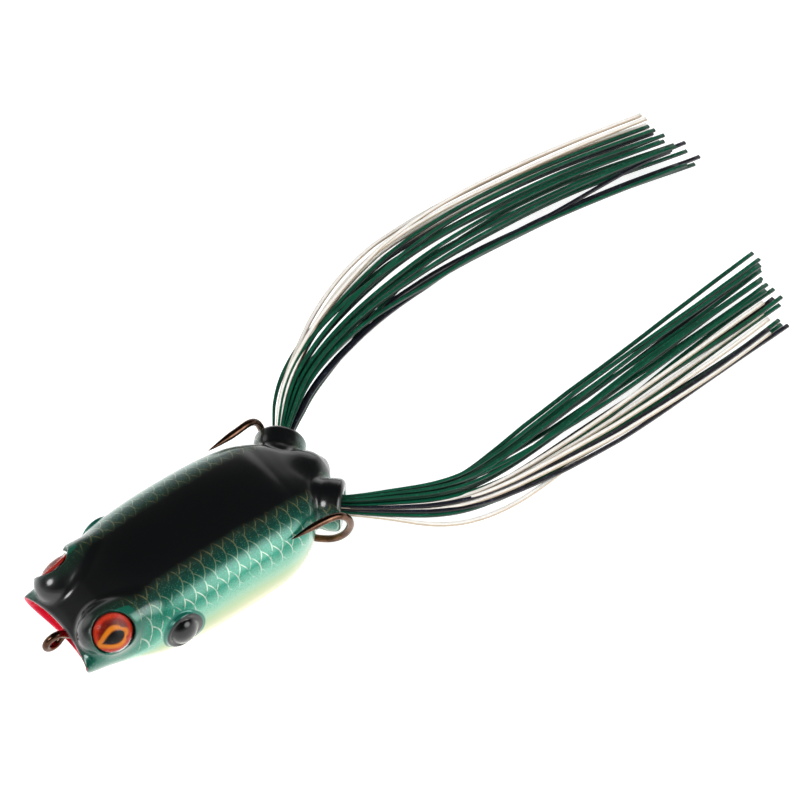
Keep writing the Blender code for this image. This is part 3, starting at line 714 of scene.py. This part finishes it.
def build_body():
    low, high = (-16.2, -33.0, -0.6), (16.2, 34.0, 21.5)
    vertices, quads = surface_net(skin_distance, low, high, VOXEL)
    vertices = settle(skin_distance, vertices, 3)
    vertices = relax(vertices, quads, skin_distance)
    body = mesh_object("soft_body_skin", vertices, quads)
    x, y, z = np.abs(vertices[:, 0]), vertices[:, 1], vertices[:, 2]
    girth = paint_girth(vertices)
    attribute(body, "girth", girth)
    attribute(body, "along", vertices[:, 1])
    cup = cup_distance(x, y, z)
    depth = cup_depth(x, y, z)
    attribute(body, "mouth", smoothstep(0.45, 0.2, cup) * smoothstep(7.6, 6.8, depth))
    attribute(body, "cup", depth)
    along, out = axis_parts(x, y, z, EYE_CENTRE, EYE_AXIS)
    ahead = (EYE_CENTRE[1] - y) / np.clip(out, 0.5, None)
    out = out * (1.0 + 0.35 * smoothstep(0.1, 0.9, ahead)) * (1.0 + 0.7 * smoothstep(8.4, 6.8, np.abs(x)))
    attribute(body, "eye", np.hypot(out, 1.6 * np.clip(np.abs(along) - 0.6, 0, None)))
    out = np.hypot(y - DRUM_CENTRE[1], (z - DRUM_CENTRE[2]) / DRUM_STRETCH)
    attribute(body, "drum", np.where(x > 9.0, out, 9.0))
    wear(body, body_paint())
    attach(body, "lure_body")
    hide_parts("body_shell")
    return body


# ---------------------------------------------------------------- eyes

def axis_frame(axis):
    """Two directions square to an axis: one level, one upward."""
    axis = np.array(axis, float) / np.linalg.norm(axis)
    level = np.cross((0.0, 0.0, 1.0), axis)
    level /= np.linalg.norm(level)
    return axis, level, np.cross(axis, level)


def lathe(name, outline, centre, axis, segments=96):
    """Mesh turned about an axis from (radius, height) pairs, plus its local coordinates."""
    axis, level, upward = axis_frame(axis)
    places, local, faces = [], [], []
    for r, h in outline:
        for k in range(segments):
            a = 2 * math.pi * k / segments
            u, v = r * math.cos(a), r * math.sin(a)
            local.append((u, v))
            places.append(np.array(centre) + level * u + upward * v + axis * h)
    for i in range(len(outline) - 1):
        for k in range(segments):
            j = (k + 1) % segments
            faces.append((i * segments + k, i * segments + j, (i + 1) * segments + j, (i + 1) * segments + k))
    faces.append(tuple(range(segments))[::-1])
    last = (len(outline) - 1) * segments
    faces.append(tuple(last + k for k in range(segments)))
    return mesh_object(name, places, faces), np.array(local)


def foil_paint():
    """Printed iris: gold round the pupil, deep red streaks, bright orange-red edge."""
    p = Paint("printed_iris")
    r, turn, pupil = p.read("radius"), p.read("turn"), p.read("pupil")
    streak = p.noise(1.0, 3.0, 0.6, p.vector(p.math("MULTIPLY", p.math("COSINE", turn), 9.0),
                                             p.math("MULTIPLY", p.math("SINE", turn), 9.0),
                                             p.math("MULTIPLY", r, 0.5)))
    shifted = p.math("ADD", r, p.math("MULTIPLY", p.math("SUBTRACT", streak, 0.5), 0.6))
    colour = p.ramp(shifted, [
        (0.0, (100, 18, 5)), (2.1, (84, 9, 2)), (2.7, (112, 13, 3)), (3.05, (158, 26, 4)),
        (3.35, (182, 42, 7)), (3.75, (138, 14, 3)),
    ], 0.0, 3.75)
    colour = p.mix(p.math("MULTIPLY", p.step(streak, 0.52, 0.75), 0.5), colour, (190, 74, 14))
    colour = p.mix(p.step(pupil, 1.2, 0.75), colour, (196, 110, 14))
    colour = p.mix(p.step(pupil, 0.3, 0.12), colour, (120, 60, 16))
    colour = p.mix(p.step(pupil, 0.08, -0.06), colour, (4, 4, 5))
    return p.surface(Base_Color=colour, Roughness=0.4, Specular_IOR_Level=0.15)


def dome_paint():
    p = Paint("clear_dome")
    rough = p.math("ADD", p.math("MULTIPLY", p.noise(900.0, 1.0), 0.02), 0.01)
    return p.surface(Base_Color=(1.0, 1.0, 1.0, 1.0), Roughness=rough, IOR=1.08, Transmission_Weight=1.0,
                     Coat_Weight=0.15, Coat_Roughness=0.02, Coat_IOR=1.35)


def teardrop(u, v):
    """Distance from the pupil's outline. Its point is forward and down."""
    lean = math.radians(191)
    u, v = u - 0.1, v + 0.75
    along = u * math.cos(lean) + v * math.sin(lean)
    across = np.abs(-u * math.sin(lean) + v * math.cos(lean))
    reach = np.where(along > 0, 2.5, 1.8)
    part = np.abs(along) / reach
    inside = np.clip(1.0 - part ** np.where(along > 0, 1.5, 2.0), 0.0, None)
    width = 1.2 * inside ** np.where(along > 0, 1.0, 0.5)
    return np.where(part < 1.0, (across - width) * 0.85, np.hypot((part - 1.0) * reach, across))


def build_eye(side, foil_finish, dome_finish):
    axis = sided(EYE_AXIS, side)
    base = sided(EYE_CENTRE, side) + axis * SEAT_GAP
    sphere = (EYE_RADIUS ** 2 + EYE_DOME_HEIGHT ** 2) / (2 * EYE_DOME_HEIGHT)

    def cap(r, height):
        return math.sqrt(max(sphere ** 2 - r * r, 0.0)) - sphere + height

    rings = [EYE_RADIUS * k / 40 for k in range(1, 40)]
    crown = [(r, FOIL_THICKNESS + FOIL_CROWN * (1 - (r / EYE_RADIUS) ** 2)) for r in rings]
    foil, local = lathe(side + "_iris_foil", crown + [(EYE_RADIUS, FOIL_THICKNESS - 0.05), (EYE_RADIUS, 0.0)],
                        base, axis, 128)
    u, v = local[:, 0] * (1 if side == "left" else -1), local[:, 1]
    attribute(foil, "radius", np.hypot(u, v))
    attribute(foil, "turn", np.arctan2(v, u))
    attribute(foil, "pupil", teardrop(u, v))
    wear(foil, foil_finish)
    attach(foil, "lure_body")
    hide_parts(side + "_eye_foil")
    seat = FOIL_THICKNESS + 0.1
    arc = [(r, seat + cap(r, EYE_DOME_HEIGHT)) for r in rings if r < EYE_RADIUS - 0.02]
    rim = [(EYE_RADIUS, seat + 0.12), (EYE_RADIUS, seat)]
    under = [(r, FOIL_THICKNESS + 0.03 + FOIL_CROWN * (1 - (r / EYE_RADIUS) ** 2)) for r in rings[::-2]]
    dome, _ = lathe(side + "_clear_dome", arc + rim + under, base, axis, 128)
    wear(dome, dome_finish)
    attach(dome, "lure_body")
    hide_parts(side + "_eye_dome")


# ---------------------------------------------------------------- swept pieces

def sweep(name, points, outline, sizes):
    """Skin an outline along points. Sizes scale it at each point."""
    points = np.asarray(points, float)
    tangent = np.gradient(points, axis=0)
    tangent /= np.linalg.norm(tangent, axis=1, keepdims=True)
    normal = np.cross(tangent[0], (0.0, 0.0, 1.0))
    if np.linalg.norm(normal) < 0.1:
        normal = np.cross(tangent[0], (1.0, 0.0, 0.0))
    rings, count = [], len(outline)
    for place, along, size in zip(points, tangent, sizes):
        normal = normal - along * (normal @ along)
        normal /= np.linalg.norm(normal)
        across = np.cross(along, normal)
        rings.append(place + size[0] * np.outer(outline[:, 0], normal)
                     + size[1] * np.outer(outline[:, 1], across))
    faces = []
    for i in range(len(rings) - 1):
        for k in range(count):
            j = (k + 1) % count
            faces.append((i * count + k, i * count + j, (i + 1) * count + j, (i + 1) * count + k))
    faces.append(tuple(range(count))[::-1])
    faces.append(tuple((len(rings) - 1) * count + k for k in range(count)))
    return mesh_object(name, np.vstack(rings), faces)


def rounded_square(corner, per_corner=3):
    """Outline of a unit-wide rounded square, anticlockwise, with a point in the middle of each side."""
    points = []
    half = 0.5 - corner
    for quarter in range(4):
        centre = [(half, half), (-half, half), (-half, -half), (half, -half)][quarter]
        for k in range(per_corner):
            a = math.pi / 2 * (quarter + k / (per_corner - 1))
            points.append((centre[0] + corner * math.cos(a), centre[1] + corner * math.sin(a)))
        middle = math.pi / 2 * (quarter + 1)
        points.append((0.5 * math.cos(middle), 0.5 * math.sin(middle)))
    return np.array(points)


def circle(count):
    a = np.arange(count) * 2 * math.pi / count
    return np.stack([np.cos(a), np.sin(a)], axis=1)


# ---------------------------------------------------------------- hook

def wire_paint():
    """Dark bronze plating, slightly streaked along the drawn wire."""
    p = Paint("bronze_wire")
    tone = p.noise(420.0, 4.0, 0.6)
    colour = p.ramp(tone, [(0.3, (62, 44, 34)), (0.5, (92, 66, 52)), (0.7, (122, 92, 74))], 0.0, 1.0)
    rough = p.math("ADD", p.math("MULTIPLY", p.noise(2400.0, 2.0), 0.16), 0.14)
    p.bump(p.noise(5200.0, 2.0), 0.00001, 0.15)
    return p.surface(Base_Color=colour, Roughness=rough, Metallic=1.0)


def build_hook():
    half = catmull_rom(HOOK_ROUTE, 12)
    other = half * np.array((-1.0, 1.0, 1.0))
    a = math.radians(-52) + math.radians(-256) * np.linspace(0.0, 1.0, 61)
    loop = np.stack([np.linspace(-SHANK_SPREAD, SHANK_SPREAD, 61),
                     TIE_CENTRE[0] + TIE_RADIUS * np.cos(a), TIE_CENTRE[1] + TIE_RADIUS * np.sin(a)], axis=1)
    points = np.vstack([other[::-1], loop, half])
    for _ in range(6):
        points[1:-1] = points[1:-1] * 0.5 + (points[:-2] + points[2:]) * 0.25
    run = np.concatenate([[0.0], np.cumsum(np.linalg.norm(np.diff(points, axis=0), axis=1))])
    gap = np.minimum(run, run[-1] - run)
    size = WIRE * np.clip((gap / POINT_TAPER) ** 0.7, 0.06, 1.0)
    hook = sweep("bronze_double_hook", points, circle(20), np.stack([size, size], axis=1))
    vertices = np.array([v.co for v in hook.data.vertices]) / MM
    faces = [tuple(f.vertices) for f in hook.data.polygons]
    for side in ("left", "right"):
        tip = points[-1] if side == "left" else points[0]
        k = int(np.argmin(np.abs((run[-1] - run if side == "left" else run) - BARB_BACK)))
        root = points[k]
        along = root - tip
        along /= np.linalg.norm(along)
        base = root + np.array((0.0, 0.0, -0.35)) - along * 1.0
        point = root + np.array((0.0, 0.0, -1.15)) + along * 0.9
        heel = root + np.array((0.0, 0.0, -0.35)) + along * 0.5
        wide = np.cross(along, (0.0, 0.0, 1.0)) * 0.26
        start = len(vertices)
        vertices = np.vstack([vertices, base, point, heel + wide, heel - wide, root + along * 0.2])
        faces += [tuple(start + i for i in f) for f in BARB_FACES]
    bpy.data.objects.remove(hook, do_unlink=True)
    hook = mesh_object("bronze_double_hook", vertices, faces)
    wear(hook, wire_paint())
    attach(hook, "lure_body")
    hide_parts("double_hook")
    return hook


# ---------------------------------------------------------------- skirt strands

def leg_line(side):
    mouth = sided(PORT_MOUTH, side)
    along = sided(PORT_AXIS, side)
    pivot = mouth - along * PIVOT_DEPTH
    return catmull_rom([pivot - along * STRAND_TAIL, pivot, mouth] + LEG_ROUTES[side], 8)


def layout(side):
    """For each strand: its colour, its place in the band, and its place across the fanned leg."""
    count = STRANDS_PER_LEG + len(EXTRA_RANKS)
    slots = np.arange(count)
    ring = SLOT_PITCH * np.sqrt(slots + 0.5)
    across, above = ring * np.cos(GOLDEN_ANGLE * slots), ring * np.sin(GOLDEN_ANGLE * slots)
    rank = np.concatenate([np.argsort(np.argsort(across[:STRANDS_PER_LEG])), EXTRA_RANKS])
    letters = STRAND_ORDER[side] + EXTRA_ORDER[side]
    colours = [{"g": "green", "d": "dark", "w": "white"}[letters[int(r)]] for r in rank[:STRANDS_PER_LEG]]
    colours += [{"g": "green", "d": "dark", "w": "white"}[c] for c in EXTRA_ORDER[side]]
    low, high = LOOSE_RANKS[side]
    loose = np.where((rank > low) & (rank < high), 1.9 * np.sin(7.1 * slots + 1.0), 0.0)
    final = np.argsort(np.argsort(rank + loose))
    spread = (final + 0.5) / count * 2.0 - 1.0 + 0.5 / count * np.sin(11.0 * slots)
    return colours, across, above, spread


def strand_run(side, index, across, above, spread, tone):
    """Middle line of one strand and how far out of the port each point is."""
    line = leg_line(side)
    lengths = np.concatenate([[0.0], np.cumsum(np.linalg.norm(np.diff(line, axis=0), axis=1))])
    own, other = (index * 0.618034) % 1.0, (index * 0.754878 + 0.3) % 1.0
    slant = LENGTH_SKEW[side]
    reach = lengths[-1] * (1.0 - LENGTH_SPREAD * own) - abs(slant) - slant * spread
    distance = reach * np.linspace(0.0, 1.0, STRAND_RINGS) ** 1.2
    place = np.stack([np.interp(distance, lengths, line[:, k]) for k in range(3)], axis=1)
    for _ in range(8):
        place[1:-1] = place[1:-1] * 0.5 + (place[:-2] + place[2:]) * 0.25
    direction = np.gradient(place, axis=0)
    direction /= np.linalg.norm(direction, axis=1, keepdims=True)
    out = distance - STRAND_TAIL - PIVOT_DEPTH
    sideways = np.cross(direction, (0.0, 0.0, 1.0))
    sideways /= np.linalg.norm(sideways, axis=1, keepdims=True)
    upward = np.cross(sideways, direction)
    half = np.interp(out, *np.array(LEG_WIDTHS[side]).T) / 2 - STRAND_WIDTH / 2
    port_half = SLOT_PITCH * math.sqrt(STRANDS_PER_LEG + len(EXTRA_RANKS))
    shift = WHITE_SHIFT[side] if tone == "white" else -0.3 * WHITE_SHIFT[side]
    above = min(above + shift, HIGHEST_IN_PORT)
    across = across + (WHITE_INWARD[side] if tone == "white" else 0.0)
    reach = max(1.0, math.hypot(across, above) / BAND_REACH)
    across, above = across / reach, above / reach
    turn = smoothstep(4.0 + 12.0 * own, 40.0 + 45.0 * other, out)
    rank = across / port_half * (1.0 - turn) + spread * turn
    ripple = WANDER[side] * np.clip(out / 25.0, 0.0, 1.0)
    side_move = rank * half + ripple * np.sin(out / (8.0 + 6.0 * own) + 6.28 * other)
    rise = above * (1.0 + FAN_HEIGHT * (np.sqrt(FAN_START + np.clip(out, 0.0, None)) - math.sqrt(FAN_START)))
    rise = rise + ripple * 0.6 * np.cos(out / (9.0 + 5.0 * other) + 9.0 * own)
    if tone == "white":
        rise = rise + WHITE_RISE[side] * smoothstep(14.0, 45.0, out)
    for rank_low, rank_high, push, drop, start, end in STRAYS[side]:
        if rank_low <= spread <= rank_high:
            leave = smoothstep(start, end, out)
            side_move = side_move + push * leave
            rise = rise + drop * leave
    return place + sideways * side_move[:, None] + upward * rise[:, None], out


def strand_paint(name, tones, fleck, fleck_share, edge):
    """Silicone rubber with flecks in it, and its sides darkened as painted shade."""
    p = Paint(name)
    tone = p.noise(300.0, 3.0)
    colour = p.ramp(tone, [(0.3, tones[0]), (0.7, tones[1])])
    split = p.nodes.new("ShaderNodeSeparateColor")
    p.put(p.cells(3600.0), split.inputs[0])
    colour = p.mix(p.step(split.outputs[0], 1.0 - fleck_share, 1.0 - fleck_share * 0.6), colour, fleck)
    # painted shade: the strand's sides, where edge is 1, take the darker edge colour
    colour = p.mix(p.math("MULTIPLY", p.step(p.read("edge"), 0.45, 1.0), 0.9), colour, edge)
    p.bump(p.noise(4200.0, 2.0), 0.00001, 0.2)
    return p.surface(Base_Color=colour, Roughness=0.4, Coat_Weight=0.2, Coat_Roughness=0.15)


def build_legs():
    finishes = {
        # the last colour given for each finish is the painted shade on the strands' sides
        "green": strand_paint("green_silicone", ((0, 66, 46), (2, 84, 58)),
                              (26, 106, 80), 0.06, (0, 30, 20)),
        "dark": strand_paint("dark_silicone", ((14, 15, 22), (27, 28, 40)),
                             (60, 64, 84), 0.05, (5, 5, 9)),
        "white": strand_paint("pearl_silicone", ((240, 236, 228), (252, 250, 246)),
                              (236, 230, 218), 0.04, (168, 148, 120)),
    }
    outline = rounded_square(0.2)
    # edge is 1 at the sides of each strand's width and 0 midway across its flat faces: where the painted
    # shade goes
    edge = np.clip(np.abs(outline[:, 0]) / 0.5, 0.0, 1.0)
    for side in ("left", "right"):
        colours, across, above, spread = layout(side)
        for index, tone in enumerate(colours):
            points, out = strand_run(side, index, across[index], above[index], spread[index], tone)
            grow = smoothstep(0.0, 1.0, np.clip(out / FULL_SIZE_REACH, 0, 1))
            wide = STRAND_ROOT_WIDTH + (STRAND_WIDTH - STRAND_ROOT_WIDTH) * grow
            thick = STRAND_ROOT_WIDTH + (STRAND_THICKNESS - STRAND_ROOT_WIDTH) * grow
            name = "%s_filament_%02d" % (side, index + 1)
            strand = sweep(name, points, outline, np.stack([wide, thick], axis=1))
            attribute(strand, "edge", np.tile(edge, len(points)))
            wear(strand, finishes[tone])
            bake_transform(strand)
            if index < STRANDS_PER_LEG:
                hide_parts("%s_strand_%02d" % (side, index + 1))


# ---------------------------------------------------------------- carried-over parts

def dress_frame_nodes():
    lead = Paint("cast_lead")
    tone = lead.ramp(lead.noise(500.0, 4.0), [(0.3, (88, 90, 94)), (0.7, (136, 138, 144))])
    lead.bump(lead.noise(1400.0, 3.0), 0.00005, 0.4)
    wear(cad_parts["keel_weight"], lead.surface(Base_Color=tone, Roughness=0.55, Metallic=0.7))
    rubber = Paint("band_rubber")
    tone = rubber.ramp(rubber.noise(900.0, 3.0), [(0.3, (12, 12, 13)), (0.7, (26, 26, 28))])
    rubber.bump(rubber.noise(3000.0, 2.0), 0.00003, 0.3)
    finish = rubber.surface(Base_Color=tone, Roughness=0.6)
    for side in ("left", "right"):
        wear(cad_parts[side + "_skirt_band"], finish)


# ---------------------------------------------------------------- studio

def build_camera():
    data = bpy.data.cameras.new("camera")
    data.lens = CAMERA_LENS
    data.sensor_width = 36.0
    data.clip_start = 0.05
    data.clip_end = 20.0
    camera = bpy.data.objects.new("camera", data)
    right, up = Vector(CAMERA_RIGHT), Vector(CAMERA_UP)
    back = right.cross(up)
    turn = Matrix((right, up, back)).transposed().to_4x4()
    camera.matrix_world = Matrix.Translation(CAMERA_PLACE) @ turn
    bpy.context.scene.collection.objects.link(camera)
    bpy.context.scene.camera = camera


def area_light(name, place, target, size, power, size_y=None):
    data = bpy.data.lights.new(name, "AREA")
    data.energy = power
    data.shape = "RECTANGLE"
    data.size = size
    data.size_y = size_y or size
    light = bpy.data.objects.new(name, data)
    light.location = place
    light.rotation_euler = (Vector(target) - Vector(place)).to_track_quat("-Z", "Y").to_euler()
    light.visible_glossy = False
    bpy.context.scene.collection.objects.link(light)


def build_world():
    """Bright horizon, dark overhead, and soft round glows that the gloss picks up."""
    world = bpy.data.worlds.new("studio")
    bpy.context.scene.world = world
    world.use_nodes = True
    nodes, links = world.node_tree.nodes, world.node_tree.links
    nodes.clear()
    direction = nodes.new("ShaderNodeTexCoord").outputs["Generated"]
    split = nodes.new("ShaderNodeSeparateXYZ")
    links.new(direction, split.inputs[0])

    def combine(operation, a, b):
        node = nodes.new("ShaderNodeMath")
        node.operation = operation
        for value, socket in zip((a, b), node.inputs):
            if isinstance(value, bpy.types.NodeSocket):
                links.new(value, socket)
            else:
                socket.default_value = value
        return node.outputs[0]

    def fade(value, low, high, top):
        node = nodes.new("ShaderNodeMapRange")
        node.interpolation_type = "SMOOTHSTEP"
        links.new(value, node.inputs["Value"])
        for name, number in (("From Min", low), ("From Max", high), ("To Min", 0.0), ("To Max", top)):
            node.inputs[name].default_value = number
        return node.outputs["Result"]

    drop = fade(split.outputs["Z"], 0.05, 0.42, HORIZON_GLOW - ZENITH_GLOW)
    level = combine("SUBTRACT", HORIZON_GLOW, drop)
    for aim, radius, strength in GLOWS:
        dot = nodes.new("ShaderNodeVectorMath")
        dot.operation = "DOT_PRODUCT"
        links.new(direction, dot.inputs[0])
        dot.inputs[1].default_value = Vector(aim).normalized()
        glow = fade(dot.outputs["Value"], math.cos(math.radians(radius)), 1.0, strength)
        level = combine("ADD", level, glow)
    shade = nodes.new("ShaderNodeBackground")
    shade.inputs["Color"].default_value = (1.0, 1.0, 1.0, 1.0)
    links.new(level, shade.inputs["Strength"])
    links.new(shade.outputs[0], nodes.new("ShaderNodeOutputWorld").inputs["Surface"])


def build_studio():
    half = 3.0
    floor = mesh_object("floor", [(x * half / MM, y * half / MM, -0.02)
                                  for x, y in ((-1, -1), (1, -1), (1, 1), (-1, 1))], [(0, 1, 2, 3)], False)
    p = Paint("pale_floor")
    tone = p.ramp(p.noise(3.0, 2.0), [(0.3, (212, 212, 212)), (0.7, (218, 218, 218))])
    wear(floor, p.surface(Base_Color=tone, Roughness=0.9, Specular_IOR_Level=0.1,
                          Emission_Color=(1.0, 1.0, 1.0, 1.0), Emission_Strength=0.72))
    build_world()
    area_light("overhead", (0.10, -0.15, 1.20), (0, 0.03, 0.0), 0.9, 4.6)
    area_light("front_softbox", (0.10, -0.78, 0.66), (0, 0.0, 0.01), 0.5, 0.9)
    area_light("near_softbox", (0.80, 0.42, 0.44), (0, 0.05, 0.01), 0.6, 1.8)
    bpy.context.scene.view_settings.view_transform = "Standard"


def main():
    build_camera()
    build_studio()
    build_body()
    foil_finish, dome_finish = foil_paint(), dome_paint()
    for side in ("left", "right"):
        build_eye(side, foil_finish, dome_finish)
    build_hook()
    build_legs()
    dress_frame_nodes()


main()
